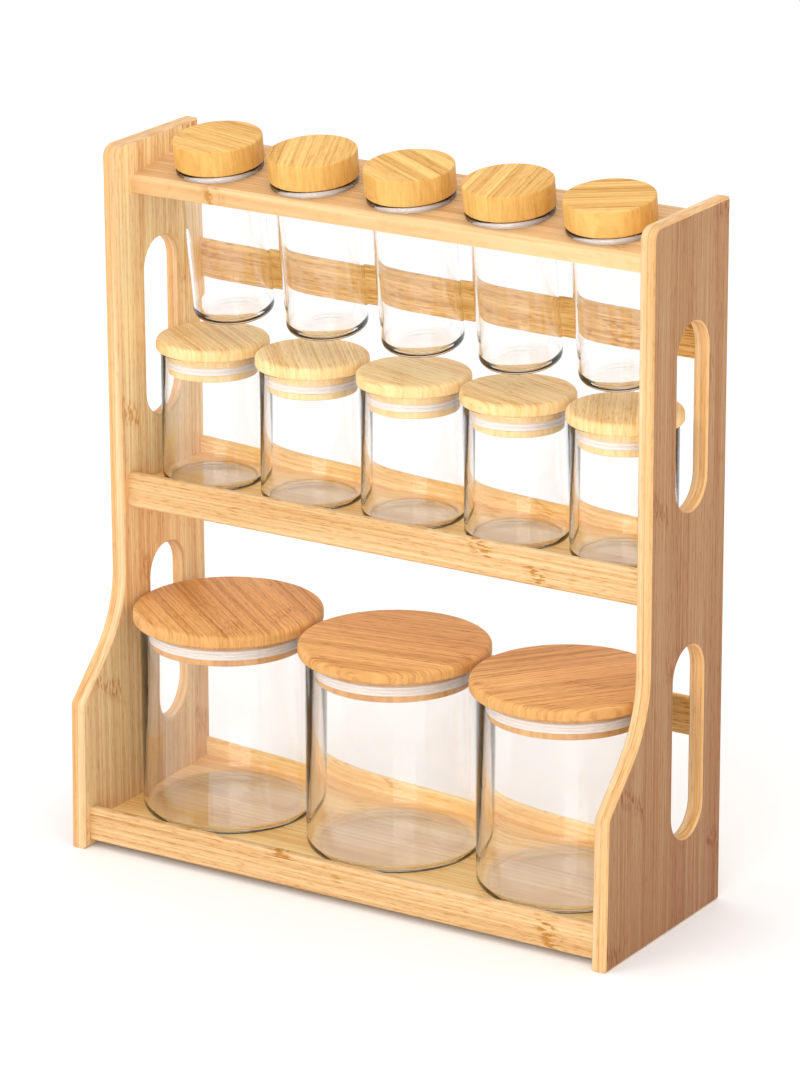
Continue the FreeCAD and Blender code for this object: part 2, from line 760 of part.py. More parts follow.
spice_plug = spice_radius - spice_wall - plug_clearance
for number, x in row_places(SPICE_JARS, spice_pitch):
    glass = jar(f"spice_jar_{number}", spice_radius, spice_height, spice_wall,
                spice_base, spice_base_bevel)
    lid = grooved_lid(f"spice_lid_{number}", spice_lid_radius, lid_thickness, lid_edge_bevel,
                      spice_plug, lid_plug_depth, spice_seal_drop, spice_seal_height)
    ring = seal(f"spice_seal_{number}", spice_plug, plug_clearance,
                spice_seal_drop, spice_seal_height)
    lid_height = middle_shelf_height + spice_height + lid_gap
    put(glass, x, rear - spice_setback, middle_shelf_height)
    put(lid, x, rear - spice_setback, lid_height)
    put(ring, x, rear - spice_setback, lid_height)
    sub_parts += [glass, lid, ring]

canister_plug = canister_radius - canister_wall - plug_clearance
for number, x in row_places(CANISTERS, canister_pitch):
    glass = jar(f"canister_{number}", canister_radius, canister_height, canister_wall,
                canister_base, canister_base_bevel)
    lid = grooved_lid(f"canister_lid_{number}", canister_lid_radius, lid_thickness, lid_edge_bevel,
                      canister_plug, lid_plug_depth, canister_seal_drop, canister_seal_height)
    ring = seal(f"canister_seal_{number}", canister_plug, plug_clearance,
                canister_seal_drop, canister_seal_height)
    lid_height = bottom_shelf_height + canister_height + lid_gap
    put(glass, x, rear - canister_setback, bottom_shelf_height)
    put(lid, x, rear - canister_setback, lid_height)
    put(ring, x, rear - canister_setback, lid_height)
    sub_parts += [glass, lid, ring]


# ---------------------------------------------------------------- check and write

doc.recompute()
for item in doc.Objects:
    if "Invalid" in item.State or "Error" in item.State:
        raise RuntimeError(f"{item.Label} didn't compute: {item.State}")
for piece in sub_parts:
    if piece.Shape.isNull() or not piece.Shape.isValid():
        raise RuntimeError(f"{piece.Label} has no valid shape")
    piece.Shape.exportStep(f"parts/{piece.Label}.step")
print(len(sub_parts), "sub-parts written")
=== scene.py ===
# %% [markdown]
# # A bamboo spice rack with glass jars
# The rack is a set of flat bamboo boards with thirteen turned glass vessels in it. The boards
# arrive finished as solids, so here they only get their wood. Glass, lids and silicone rings
# are all round, so they are turned again with finer, rounder edges than the solids have.

# %% The frame
import json
import math

import bmesh
import bpy
from mathutils import Matrix, Vector


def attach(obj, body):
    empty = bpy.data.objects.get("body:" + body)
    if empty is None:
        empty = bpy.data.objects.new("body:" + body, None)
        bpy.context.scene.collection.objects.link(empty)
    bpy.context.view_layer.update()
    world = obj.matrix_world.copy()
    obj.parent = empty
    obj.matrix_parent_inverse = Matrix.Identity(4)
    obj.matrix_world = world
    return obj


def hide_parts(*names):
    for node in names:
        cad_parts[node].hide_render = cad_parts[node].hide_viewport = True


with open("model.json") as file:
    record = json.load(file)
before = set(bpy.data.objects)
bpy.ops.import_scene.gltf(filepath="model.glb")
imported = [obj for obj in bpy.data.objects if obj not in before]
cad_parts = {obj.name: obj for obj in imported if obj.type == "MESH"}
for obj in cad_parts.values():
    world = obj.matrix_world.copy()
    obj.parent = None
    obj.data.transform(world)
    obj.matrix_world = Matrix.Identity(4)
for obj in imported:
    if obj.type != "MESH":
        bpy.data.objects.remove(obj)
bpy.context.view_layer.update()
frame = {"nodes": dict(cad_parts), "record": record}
record = frame["record"]
scene = bpy.context.scene
MM = 0.001
print("boards and vessels in the frame:", len(frame["nodes"]))

# %% [markdown]
# ## Camera
# The camera looks at the middle of the rack from the right and a little above, with a long
# lens from nearly three metres, so the panels' edges stay almost parallel. A camera's place
# is easiest to state as a direction from its target, which is why it is worked out here from
# two angles and a distance.

# %% Camera
AZIMUTH = math.radians(32.35)
ELEVATION = math.radians(18.38)
ROLL = math.radians(-0.25)
DISTANCE = 2.788
TARGET = Vector((0.00685, 0.0, 0.194))

towards_camera = Vector((
    math.sin(AZIMUTH) * math.cos(ELEVATION),
    -math.cos(AZIMUTH) * math.cos(ELEVATION),
    math.sin(ELEVATION)))
lens = bpy.data.cameras.new("camera")
lens.sensor_fit = "AUTO"
lens.sensor_width = 36.0
lens.lens = 167.8
lens.clip_end = 60.0
print("camera turned", round(math.degrees(AZIMUTH), 1), "degrees and raised",
      round(math.degrees(ELEVATION), 1))

# %% Camera in its place
camera = bpy.data.objects.new("camera", lens)
scene.collection.objects.link(camera)
turn = towards_camera.to_track_quat("Z", "Y").to_matrix().to_4x4()
camera.matrix_world = (
    Matrix.Translation(TARGET + towards_camera * DISTANCE) @ turn @ Matrix.Rotation(ROLL, 4, "Z"))
scene.camera = camera
print("camera stands", round(DISTANCE, 2), "m away")

# %% [markdown]
# ## Light
# Pale wood and clear glass want large soft lights. Two broad ones stand in front: the one on
# the right is nearer the camera's own direction and reaches the shelves under the boards, and
# the one on the left models the fronts. A weak one overhead lights the lids. A studio sky
# could be one flat white, but clear glass shows only what it mirrors and bends, so the sky
# here is a little greyer at the horizon, and the glass has something to draw its edges with.

# %% Light helpers
def soft_light(name, place, size, watts, colour=(1.0, 1.0, 1.0)):
    """A square area light that looks at the middle of the rack."""
    data = bpy.data.lights.new(name, "AREA")
    data.size = size
    data.energy = watts
    data.color = colour
    light = bpy.data.objects.new(name, data)
    scene.collection.objects.link(light)
    light.location = place
    aim = TARGET - Vector(place)
    light.rotation_euler = aim.to_track_quat("-Z", "Y").to_euler()


# %% Lights
soft_light("key_light", (-1.3, -2.1, 1.7), 1.3, 12.0, (1.0, 0.985, 0.96))
soft_light("top_light", (0.1, -0.2, 2.1), 1.8, 5.0)
soft_light("front_light", (0.9, -2.5, 1.0), 1.5, 25.0, (1.0, 0.98, 0.95))

# %% Sky
sky = bpy.data.worlds.new("studio_sky")
sky.use_nodes = True
scene.world = sky
sky_nodes, sky_links = sky.node_tree.nodes, sky.node_tree.links
direction = sky_nodes.new("ShaderNodeTexCoord")
split = sky_nodes.new("ShaderNodeSeparateXYZ")
ramp = sky_nodes.new("ShaderNodeValToRGB")
horizon, overhead = ramp.color_ramp.elements
horizon.position, horizon.color = 0.0, (0.82, 0.81, 0.80, 1.0)
overhead.position, overhead.color = 0.8, (1.0, 1.0, 1.0, 1.0)
sky_links.new(direction.outputs["Generated"], split.inputs[0])
sky_links.new(split.outputs["Z"], ramp.inputs["Fac"])
sky_links.new(ramp.outputs["Color"], sky_nodes["Background"].inputs["Color"])
sky_nodes["Background"].inputs["Strength"].default_value = 1.05
print("sky has", len(sky_nodes), "nodes")

# %% [markdown]
# A ray that looks through three jars crosses twelve glass surfaces, and more near their
# edges, where it is mirrored inside the wall. Where it runs out of bounces it turns black, so
# it gets at least twice as many as usual. The Standard view keeps white paper white.

# %% Bounces and view
GLASS_BOUNCES = 24
scene.cycles.max_bounces = GLASS_BOUNCES
scene.cycles.transmission_bounces = GLASS_BOUNCES
scene.cycles.transparent_max_bounces = GLASS_BOUNCES
scene.view_settings.view_transform = "Standard"
print("bounces:", GLASS_BOUNCES)

# %% [markdown]
# ## Node helpers
# Materials and modifiers are graphs of small nodes, and each node takes several lines to add,
# fill in and wire. A few short helpers do that, so that a recipe below reads as a recipe:
# sums, ranges, mixed colours, and a group with named sockets.

# %% Node helpers
def add_node(tree, kind, **settings):
    """A new node with its settings, such as the operation of a Math node."""
    node = tree.nodes.new(kind)
    for name, value in settings.items():
        setattr(node, name, value)
    return node


def wire(tree, source, target):
    """Join an output socket to an input socket."""
    tree.links.new(source, target)


# %% Math and ranges
def math_node(tree, operation, first, second=None):
    """A Math node; first and second are sockets or plain numbers."""
    node = add_node(tree, "ShaderNodeMath", operation=operation)
    for socket, value in zip(node.inputs, (first, second)):
        if value is None:
            continue
        if isinstance(value, (int, float)):
            socket.default_value = value
        else:
            wire(tree, value, socket)
    return node.outputs[0]


def limits(tree, value, low, high, result_low=0.0, result_high=1.0):
    """Map a value from one range to another and clamp it there."""
    node = add_node(tree, "ShaderNodeMapRange")
    settings = {"From Min": low, "From Max": high, "To Min": result_low, "To Max": result_high}
    for label, number in settings.items():
        node.inputs[label].default_value = number
    wire(tree, value, node.inputs["Value"])
    return node.outputs["Result"]


def mix_colours(tree, share, first, second, blend="MIX"):
    """A colour Mix node; share is a socket, first and second are sockets or colours."""
    node = add_node(tree, "ShaderNodeMix", data_type="RGBA", blend_type=blend)
    wire(tree, share, node.inputs["Factor"])
    for label, colour in (("A", first), ("B", second)):
        if isinstance(colour, (tuple, list)):
            node.inputs[label].default_value = colour
        else:
            wire(tree, colour, node.inputs[label])
    return node


# %% Groups with named sockets
def new_group(name, inputs, outputs):
    """A shader node group with named sockets; each input is (name, kind, default)."""
    tree = bpy.data.node_groups.new(name, "ShaderNodeTree")
    for label, kind, default in inputs:
        socket = tree.interface.new_socket(label, in_out="INPUT", socket_type=kind)
        if default is not None:
            socket.default_value = default
    for label, kind in outputs:
        tree.interface.new_socket(label, in_out="OUTPUT", socket_type=kind)
    return tree, add_node(tree, "NodeGroupInput"), add_node(tree, "NodeGroupOutput")


# %% [markdown]
# ## Bamboo
# Bamboo board is glued from strips. Each strip has its own tone, runs in fine straight
# fibres with short dark pores, and shows a knuckle now and then where the cane had a joint.
# An image could hold this, but a formula never repeats and has no edges, so one node group
# makes every bamboo surface here: X runs along the fibres, Y across the strips.

# %% Bamboo group
bamboo, bamboo_in, bamboo_out = new_group(
    "bamboo_strips",
    [("Vector", "NodeSocketVector", None),
     ("Strip width", "NodeSocketFloat", 0.02),
     ("Pale", "NodeSocketColor", (0.8, 0.6, 0.35, 1.0)),
     ("Deep", "NodeSocketColor", (0.6, 0.38, 0.18, 1.0)),
     ("Tone spread", "NodeSocketFloat", 0.5),
     ("Pores", "NodeSocketFloat", 0.4),
     ("Knuckles", "NodeSocketFloat", 0.5),
     ("Knuckle spacing", "NodeSocketFloat", 0.34)],
    [("Color", "NodeSocketColor"), ("Roughness", "NodeSocketFloat"), ("Height", "NodeSocketFloat")])
print("inputs:", [socket.name for socket in bamboo_in.outputs if socket.name])

# %% Noise drawn out along the fibres
THROUGH_SHARE = 0.12


def stretched_noise(tree, vector, detail, along, across):
    """Noise with so many spots a metre along and across the fibres, fewer through the board."""
    mapping = add_node(tree, "ShaderNodeMapping")
    mapping.inputs["Scale"].default_value = (along, across, across * THROUGH_SHARE)
    noise = add_node(tree, "ShaderNodeTexNoise")
    noise.inputs["Scale"].default_value = 1.0
    noise.inputs["Detail"].default_value = detail
    wire(tree, vector, mapping.inputs["Vector"])
    wire(tree, mapping.outputs[0], noise.inputs["Vector"])
    return noise.outputs["Fac"]


# %% Strips: a number for each strip and a random tone for each number
STRIP_WANDER = 0.0006
axes = add_node(bamboo, "ShaderNodeSeparateXYZ")
wire(bamboo, bamboo_in.outputs["Vector"], axes.inputs[0])
along, across, through = axes.outputs
wander = stretched_noise(bamboo, bamboo_in.outputs["Vector"], 2.0, 3.0, 12.0)
straying = math_node(bamboo, "ADD", across, math_node(bamboo, "MULTIPLY", wander, STRIP_WANDER))
strip_place = math_node(bamboo, "DIVIDE", straying, bamboo_in.outputs["Strip width"])
strip_number = math_node(bamboo, "FLOOR", strip_place)
strip_share = math_node(bamboo, "FRACT", strip_place)
dice = add_node(bamboo, "ShaderNodeTexWhiteNoise", noise_dimensions="1D")
wire(bamboo, strip_number, dice.inputs["W"])
strip_tone = dice.outputs["Value"]
print("strips wander by up to", STRIP_WANDER * 1000, "mm")

# %% Fibres and pores: each strip looks at another stretch of the same noise
STRIP_SHUFFLE = 7.0
fibre_places = add_node(bamboo, "ShaderNodeCombineXYZ")
strip_shift = math_node(bamboo, "MULTIPLY", strip_tone, STRIP_SHUFFLE)
wire(bamboo, math_node(bamboo, "ADD", along, strip_shift), fibre_places.inputs["X"])
wire(bamboo, across, fibre_places.inputs["Y"])
wire(bamboo, through, fibre_places.inputs["Z"])
fibres = stretched_noise(bamboo, fibre_places.outputs[0], 5.0, 7.0, 620.0)
bands = stretched_noise(bamboo, fibre_places.outputs[0], 2.0, 2.5, 110.0)
pore_noise = stretched_noise(bamboo, fibre_places.outputs[0], 2.0, 110.0, 1300.0)
pore_mask = limits(bamboo, pore_noise, 0.56, 0.64)
print("fibres, bands and pores drawn out along X")

# %% [markdown]
# A cane has a solid joint, its knuckle, every 20 to 40 cm. In a sawn strip it shows as a
# slanted cluster of short dark fibres. A painted stamp would look the same each time, so here
# a narrow slanted band shows only where a finer noise is high.

# %% Knuckles: one band across each strip, at a place of its own
KNUCKLE_SLANT = 0.6
KNUCKLE_CORE, KNUCKLE_FADE = 0.003, 0.009
KNUCKLE_SHUFFLE = 17.3
slanted = math_node(bamboo, "ADD", along, math_node(bamboo, "MULTIPLY", across, KNUCKLE_SLANT))
knuckle_place = math_node(
    bamboo, "ADD", math_node(bamboo, "DIVIDE", slanted, bamboo_in.outputs["Knuckle spacing"]),
    math_node(bamboo, "MULTIPLY", strip_tone, KNUCKLE_SHUFFLE))
knuckle_share = math_node(
    bamboo, "ABSOLUTE", math_node(bamboo, "SUBTRACT", math_node(bamboo, "FRACT", knuckle_place), 0.5))
knuckle_distance = math_node(
    bamboo, "MULTIPLY", knuckle_share, bamboo_in.outputs["Knuckle spacing"])
knuckle_band = limits(bamboo, knuckle_distance, KNUCKLE_CORE, KNUCKLE_FADE, 1.0, 0.0)
scribble_noise = stretched_noise(bamboo, fibre_places.outputs[0], 3.0, 170.0, 800.0)
scribble = limits(bamboo, scribble_noise, 0.48, 0.58)
knuckle_mask = math_node(
    bamboo, "MULTIPLY", math_node(bamboo, "MULTIPLY", knuckle_band, scribble),
    bamboo_in.outputs["Knuckles"])
print("a knuckle is about", KNUCKLE_FADE * 2000, "mm long")

# %% Put the tones together
MEAN_DEPTH, FIBRE_CONTRAST, BAND_CONTRAST = 0.42, 2.8, 1.3
tone_shift = math_node(
    bamboo, "MULTIPLY", math_node(bamboo, "SUBTRACT", strip_tone, 0.5),
    bamboo_in.outputs["Tone spread"])
fibre_shift = math_node(bamboo, "MULTIPLY", math_node(bamboo, "SUBTRACT", fibres, 0.5), FIBRE_CONTRAST)
band_shift = math_node(bamboo, "MULTIPLY", math_node(bamboo, "SUBTRACT", bands, 0.5), BAND_CONTRAST)
depth = math_node(
    bamboo, "ADD", math_node(bamboo, "ADD", MEAN_DEPTH, tone_shift),
    math_node(bamboo, "ADD", fibre_shift, band_shift))
pore_depth = math_node(bamboo, "MULTIPLY", pore_mask, bamboo_in.outputs["Pores"])
depth = math_node(bamboo, "ADD", depth, math_node(bamboo, "ADD", pore_depth, knuckle_mask))
tone = mix_colours(
    bamboo, limits(bamboo, depth, -0.4, 1.6, -0.4, 1.6),
    bamboo_in.outputs["Pale"], bamboo_in.outputs["Deep"])
tone.clamp_factor = False
print("the deepest fibres go past the deep tone, the brightest past the pale one")

# %% Glue lines between the strips
GLUE_CORE, GLUE_FADE = 0.00008, 0.0003
GLUE_STRENGTH, GLUE_TINT = 0.45, (0.72, 0.62, 0.5, 1.0)
edge_distance = math_node(
    bamboo, "MULTIPLY",
    math_node(bamboo, "SUBTRACT", 0.5, math_node(
        bamboo, "ABSOLUTE", math_node(bamboo, "SUBTRACT", strip_share, 0.5))),
    bamboo_in.outputs["Strip width"])
glue_line = limits(bamboo, edge_distance, GLUE_CORE, GLUE_FADE, 1.0, 0.0)
lined = mix_colours(
    bamboo, math_node(bamboo, "MULTIPLY", glue_line, GLUE_STRENGTH), tone.outputs["Result"],
    GLUE_TINT, "MULTIPLY")
print("glue lines reach", GLUE_FADE * 1000, "mm to each side of a joint")

# %% Roughness, height and the group's outputs
roughness = limits(bamboo, fibres, 0.3, 0.7, 0.46, 0.6)
height = math_node(
    bamboo, "SUBTRACT", fibres,
    math_node(bamboo, "ADD", math_node(bamboo, "MULTIPLY", pore_mask, 0.5),
              math_node(bamboo, "MULTIPLY", glue_line, 0.8)))
wire(bamboo, lined.outputs["Result"], bamboo_out.inputs["Color"])
wire(bamboo, roughness, bamboo_out.inputs["Roughness"])
wire(bamboo, height, bamboo_out.inputs["Height"])
print("bamboo group has", len(bamboo.nodes), "nodes")

# %% [markdown]
# ## Wood finishes
# The group draws the pattern; each finish says where the fibres run and how deep the tones
# go. Flat boards use the rack's own X, Y and Z, swapped so that X is along the fibres. Turned
# pieces carry an attribute instead, because each lid was cut from a blank at its own angle.

# %% Materials and groups
def new_material(name):
    """A material with its node tree and its shader."""
    material = bpy.data.materials.new(name)
    material.use_nodes = True
    tree = material.node_tree
    return material, tree, tree.nodes["Principled BSDF"]


def place_group(tree, group, vector, **values):
    """A group in a material; strip_width=0.02 fills in the input named Strip width."""
    node = add_node(tree, "ShaderNodeGroup", node_tree=group)
    wire(tree, vector, node.inputs["Vector"])
    for label, value in values.items():
        node.inputs[label.replace("_", " ").capitalize()].default_value = value
    return node


# %% Directions
def object_axes(tree, order):
    """Object coordinates in another order, such as ZYX for fibres that run upright."""
    source = add_node(tree, "ShaderNodeTexCoord")
    parts = add_node(tree, "ShaderNodeSeparateXYZ")
    joined = add_node(tree, "ShaderNodeCombineXYZ")
    wire(tree, source.outputs["Object"], parts.inputs[0])
    for target, letter in zip(joined.inputs, order):
        wire(tree, parts.outputs[letter], target)
    return joined.outputs[0], parts


def normal_parts(tree):
    """The three components of the direction that the surface faces."""
    facing = add_node(tree, "ShaderNodeNewGeometry")
    parts = add_node(tree, "ShaderNodeSeparateXYZ")
    wire(tree, facing.outputs["Normal"], parts.inputs[0])
    return parts.outputs


# %% Lacquer
GRAIN_RELIEF = 0.0001


def lacquer(tree, shader, wood):
    """Thin matt lacquer over the wood: its colour, roughness and a very low relief."""
    relief = add_node(tree, "ShaderNodeBump")
    relief.inputs["Strength"].default_value = 0.25
    relief.inputs["Distance"].default_value = GRAIN_RELIEF
    wire(tree, wood.outputs["Color"], shader.inputs["Base Color"])
    wire(tree, wood.outputs["Roughness"], shader.inputs["Roughness"])
    wire(tree, wood.outputs["Height"], relief.inputs["Height"])
    wire(tree, relief.outputs[0], shader.inputs["Normal"])
    shader.inputs["Specular IOR Level"].default_value = 0.25


# %% [markdown]
# The boards are not all of one tone. The bottle board and the two front lips are straw, and the
# thin slats across the back are the most orange. The shelves and the rails behind them are
# paler and warmer: that paleness is painted light, which makes up for the shade under the
# boards above them and the light lost in the glass in front. All of them differ only in the
# values that each gives to the same group.

# %% Board finish
def board_finish(name, order, strip_width, pale, deep, **values):
    """Bamboo for a flat piece, with its fibres along the first axis of the order."""
    material, tree, shader = new_material(name)
    vector = object_axes(tree, order)[0]
    wood = place_group(tree, bamboo, vector, strip_width=strip_width, pale=pale, deep=deep, **values)
    lacquer(tree, shader, wood)
    return material


# %% Boards, lips, rails and slats
BOARD_STRIP, RAIL_STRIP = 0.021, 0.0202
STRAW_PALE, STRAW_DEEP = (0.80, 0.53, 0.27, 1.0), (0.58, 0.32, 0.12, 1.0)
# The honey tones are painted light: straw made paler for the back rails, which stand in shade behind
# the glass.
HONEY_PALE_PAINTED_LIGHT, HONEY_DEEP_PAINTED_LIGHT = (0.96, 0.71, 0.34, 1.0), (0.80, 0.49, 0.17, 1.0)
board_bamboo = board_finish(
    "board_bamboo", "XYZ", BOARD_STRIP, STRAW_PALE, STRAW_DEEP, tone_spread=0.4, pores=0.15,
    knuckles=0.8)
# The shelves are paler than the bottle board: painted light, for the shade under the boards above them.
shelf_bamboo_painted_light = board_finish(
    "shelf_bamboo_painted_light", "XYZ", BOARD_STRIP, (0.98, 0.67, 0.29, 1.0), (0.82, 0.45, 0.14, 1.0),
    tone_spread=0.5, pores=0.3, knuckles=0.8)
lip_bamboo = board_finish(
    "lip_bamboo", "XZY", RAIL_STRIP, STRAW_PALE, STRAW_DEEP, tone_spread=0.3, pores=0.6,
    knuckles=1.3)
back_rail_bamboo_painted_light = board_finish(
    "back_rail_bamboo_painted_light", "XZY", RAIL_STRIP, HONEY_PALE_PAINTED_LIGHT, HONEY_DEEP_PAINTED_LIGHT, tone_spread=0.3, pores=0.7,
    knuckles=1.2)
slat_bamboo = board_finish(
    "slat_bamboo", "XZY", RAIL_STRIP, (0.82, 0.52, 0.19, 1.0), (0.60, 0.31, 0.08, 1.0),
    tone_spread=0.3, pores=0.9, knuckles=1.4)
dowel_wood = board_finish(
    "dowel_wood", "XYZ", 0.3, (0.78, 0.6, 0.4, 1.0), (0.6, 0.42, 0.24, 1.0), tone_spread=0.2,
    pores=0.2, knuckles=0.0)
print("board finishes:", board_bamboo.name, shelf_bamboo_painted_light.name, lip_bamboo.name, back_rail_bamboo_painted_light.name,
      slat_bamboo.name, dowel_wood.name)

# %% [markdown]
# A side panel is glued from two plies. Its broad faces are flat-cut strips with knuckles, honey
# in tone, and its edges show both plies side by side, one pale and one warmer, with the glue
# line between them. The outer faces are darkened: painted shade, for the side that faces away
# from the lamps. Two materials could be given to chosen faces, but here the direction that a
# face looks in tells one material which is which. Both faces also carry painted shade towards
# the panel's foot, a little deeper in tone there than at its head.

# %% Panel faces and edges
PANEL_STRIP = 0.0235
panel_bamboo, tree, shader = new_material("panel_bamboo")
vector, parts = object_axes(tree, "ZYX")
faces = place_group(
    tree, bamboo, vector, strip_width=PANEL_STRIP, pale=(0.99, 0.75, 0.39, 1.0),
    deep=(0.79, 0.47, 0.20, 1.0), tone_spread=0.5, pores=0.6, knuckles=1.4, knuckle_spacing=0.36)
edges = place_group(
    tree, bamboo, object_axes(tree, "ZXY")[0], strip_width=0.3, pale=(0.81, 0.55, 0.30, 1.0),
    deep=(0.62, 0.36, 0.15, 1.0), tone_spread=0.2, pores=0.4, knuckles=0.0)
print("panel strips are", PANEL_STRIP * 1000, "mm wide")

# %% The two plies and the glue line on the edges
PLY_SEAM = 0.1705
OUTER_PLY_TINT, SEAM_TINT = (0.98, 0.85, 0.66, 1.0), (0.75, 0.58, 0.40, 1.0)
width_place = math_node(tree, "ABSOLUTE", parts.outputs["X"])
outer_ply = limits(tree, width_place, PLY_SEAM - 0.0001, PLY_SEAM + 0.0001)
seam = limits(
    tree, math_node(tree, "ABSOLUTE", math_node(tree, "SUBTRACT", width_place, PLY_SEAM)),
    0.0001, 0.0004, 1.0, 0.0)
ply = mix_colours(
    tree, math_node(tree, "MULTIPLY", outer_ply, 0.75), edges.outputs["Color"], OUTER_PLY_TINT,
    "MULTIPLY")
glued = mix_colours(
    tree, math_node(tree, "MULTIPLY", seam, 0.7), ply.outputs["Result"], SEAM_TINT, "MULTIPLY")
print("plies meet", PLY_SEAM * 1000, "mm from the middle of the rack")

# %% Painted shade on the outer faces, deeper towards the foot
# The outer face tint and the foot tint are painted shade, not colours of the wood itself.
OUTER_FACE_PAINTED_SHADE, FOOT_PAINTED_SHADE = (0.48, 0.36, 0.32, 1.0), (0.78, 0.70, 0.66, 1.0)
FOOT_SHADE_LOW, FOOT_SHADE_HIGH = 0.02, 0.28
outer_face_painted_shade = mix_colours(tree, outer_ply, faces.outputs["Color"], OUTER_FACE_PAINTED_SHADE, "MULTIPLY")
painted_shade_at_foot = mix_colours(
    tree, limits(tree, parts.outputs["Z"], FOOT_SHADE_LOW, FOOT_SHADE_HIGH, 1.0, 0.0),
    outer_face_painted_shade.outputs["Result"], FOOT_PAINTED_SHADE, "MULTIPLY")
on_face = limits(tree, math_node(tree, "ABSOLUTE", normal_parts(tree)["X"]), 0.75, 0.95)
whole = mix_colours(tree, on_face, glued.outputs["Result"], painted_shade_at_foot.outputs["Result"])
lacquer(tree, shader, faces)
wire(tree, whole.outputs["Result"], shader.inputs["Base Color"])
print("panel finish has", len(tree.nodes), "nodes")

# %% [markdown]
# Lids and caps read the place in the blank that is stored on them. Around a turned rim the
# fibres end, and real end grain is only fine points, while the drawn-out noise would look
# like teeth. So the rim is mixed part of the way towards the finish's middle tone.

# %% Turned wood
RIM_CALM = 0.55


def turned_finish(name, strip_width, pale, deep, **values):
    """Bamboo that reads the fibre direction stored on each turned piece."""
    material, tree, shader = new_material(name)
    stored = add_node(tree, "ShaderNodeAttribute", attribute_name="grain")
    wood = place_group(
        tree, bamboo, stored.outputs["Vector"], strip_width=strip_width, pale=pale, deep=deep, **values)
    lacquer(tree, shader, wood)
    rim = limits(tree, math_node(tree, "ABSOLUTE", normal_parts(tree)["Z"]), 0.3, 0.9, RIM_CALM, 0.0)
    middle_tone = [(light + dark) / 2 for light, dark in zip(pale, deep)]
    calm = mix_colours(tree, rim, wood.outputs["Color"], middle_tone)
    wire(tree, calm.outputs["Result"], shader.inputs["Base Color"])
    return material


# %% Lid and cap finishes
canister_lid_bamboo = turned_finish(
    "canister_lid_bamboo", 0.019, (0.80, 0.44, 0.16, 1.0), (0.54, 0.25, 0.07, 1.0),
    tone_spread=0.7, pores=0.7, knuckles=0.7)
jar_lid_bamboo = turned_finish(
    "jar_lid_bamboo", 0.019, (0.99, 0.75, 0.40, 1.0), (0.80, 0.49, 0.19, 1.0),
    tone_spread=0.6, pores=0.6, knuckles=0.6)
cap_bamboo = turned_finish(
    "cap_bamboo", 0.0075, (0.82, 0.49, 0.15, 1.0), (0.58, 0.29, 0.055, 1.0),
    tone_spread=0.75, pores=0.5, knuckles=0.0)
print("turned finishes:", canister_lid_bamboo.name, jar_lid_bamboo.name, cap_bamboo.name)

# %% [markdown]
# ## Glass and silicone
# Clear glass is nearly all light path: full transmission, an index of 1.47 and a surface
# that is a touch uneven, as blown walls are. An image of glass could not show what stands
# behind it, so only real refraction will do.

# %% Glass
clear_glass, tree, shader = new_material("clear_glass")
shader.inputs["Transmission Weight"].default_value = 1.0
shader.inputs["IOR"].default_value = 1.47
shader.inputs["Roughness"].default_value = 0.0
source = add_node(tree, "ShaderNodeTexCoord")
ripple = add_node(tree, "ShaderNodeTexNoise")
ripple.inputs["Scale"].default_value = 38.0
ripple.inputs["Detail"].default_value = 1.0
wire(tree, source.outputs["Object"], ripple.inputs["Vector"])
tint = mix_colours(
    tree, ripple.outputs["Fac"], (0.994, 0.986, 0.982, 1.0), (0.999, 0.996, 0.994, 1.0))
wire(tree, tint.outputs["Result"], shader.inputs["Base Color"])

# %% The walls' slight unevenness
relief = add_node(tree, "ShaderNodeBump")
relief.inputs["Strength"].default_value = 0.12
relief.inputs["Distance"].default_value = 0.0006
wire(tree, ripple.outputs["Fac"], relief.inputs["Height"])
wire(tree, relief.outputs[0], shader.inputs["Normal"])
print("glass index", round(shader.inputs["IOR"].default_value, 2))

# %% [markdown]
# A renderer that asks from each point whether it can see a lamp takes bent glass for a wall,
# and leaves all that stands in or behind a jar too dark. For those shadow rays alone the
# glass counts as open, with a slight loss, which is close to what thin clear walls do.

# %% Light through the glass
ray = add_node(tree, "ShaderNodeLightPath")
open_glass = add_node(tree, "ShaderNodeBsdfTransparent")
open_glass.inputs["Color"].default_value = (0.97, 0.965, 0.96, 1.0)
either = add_node(tree, "ShaderNodeMixShader")
wire(tree, ray.outputs["Is Shadow Ray"], either.inputs["Fac"])
wire(tree, shader.outputs[0], either.inputs[1])
wire(tree, open_glass.outputs[0], either.inputs[2])
wire(tree, either.outputs[0], tree.nodes["Material Output"].inputs["Surface"])
print("glass has", len(tree.nodes), "nodes")

# %% [markdown]
# The silicone rings are milky: they mostly scatter the light back and pass only a little.

# %% Silicone
silicone, tree, shader = new_material("milky_silicone")
shader.inputs["Transmission Weight"].default_value = 0.15
shader.inputs["IOR"].default_value = 1.41
source = add_node(tree, "ShaderNodeTexCoord")
cloud = add_node(tree, "ShaderNodeTexNoise")
cloud.inputs["Scale"].default_value = 90.0
cloud.inputs["Detail"].default_value = 3.0
wire(tree, source.outputs["Object"], cloud.inputs["Vector"])
milk = mix_colours(
    tree, cloud.outputs["Fac"], (0.88, 0.78, 0.71, 1.0), (0.95, 0.88, 0.82, 1.0))
wire(tree, milk.outputs["Result"], shader.inputs["Base Color"])
wire(tree, limits(tree, cloud.outputs["Fac"], 0.3, 0.7, 0.28, 0.42), shader.inputs["Roughness"])
print("materials:", len(bpy.data.materials))

# %% [markdown]
# ## A lathe made of nodes
# Every vessel, lid and ring is half an outline turned about an axis. Blender has a Spin tool
# for that, but thirty-nine pieces that share one rule are better made by one Geometry Nodes
# tree: it takes the outline's points, lays them out as a grid, and bends the grid round.
# It also stores where each point lies in the wooden blank, for the bamboo pattern.

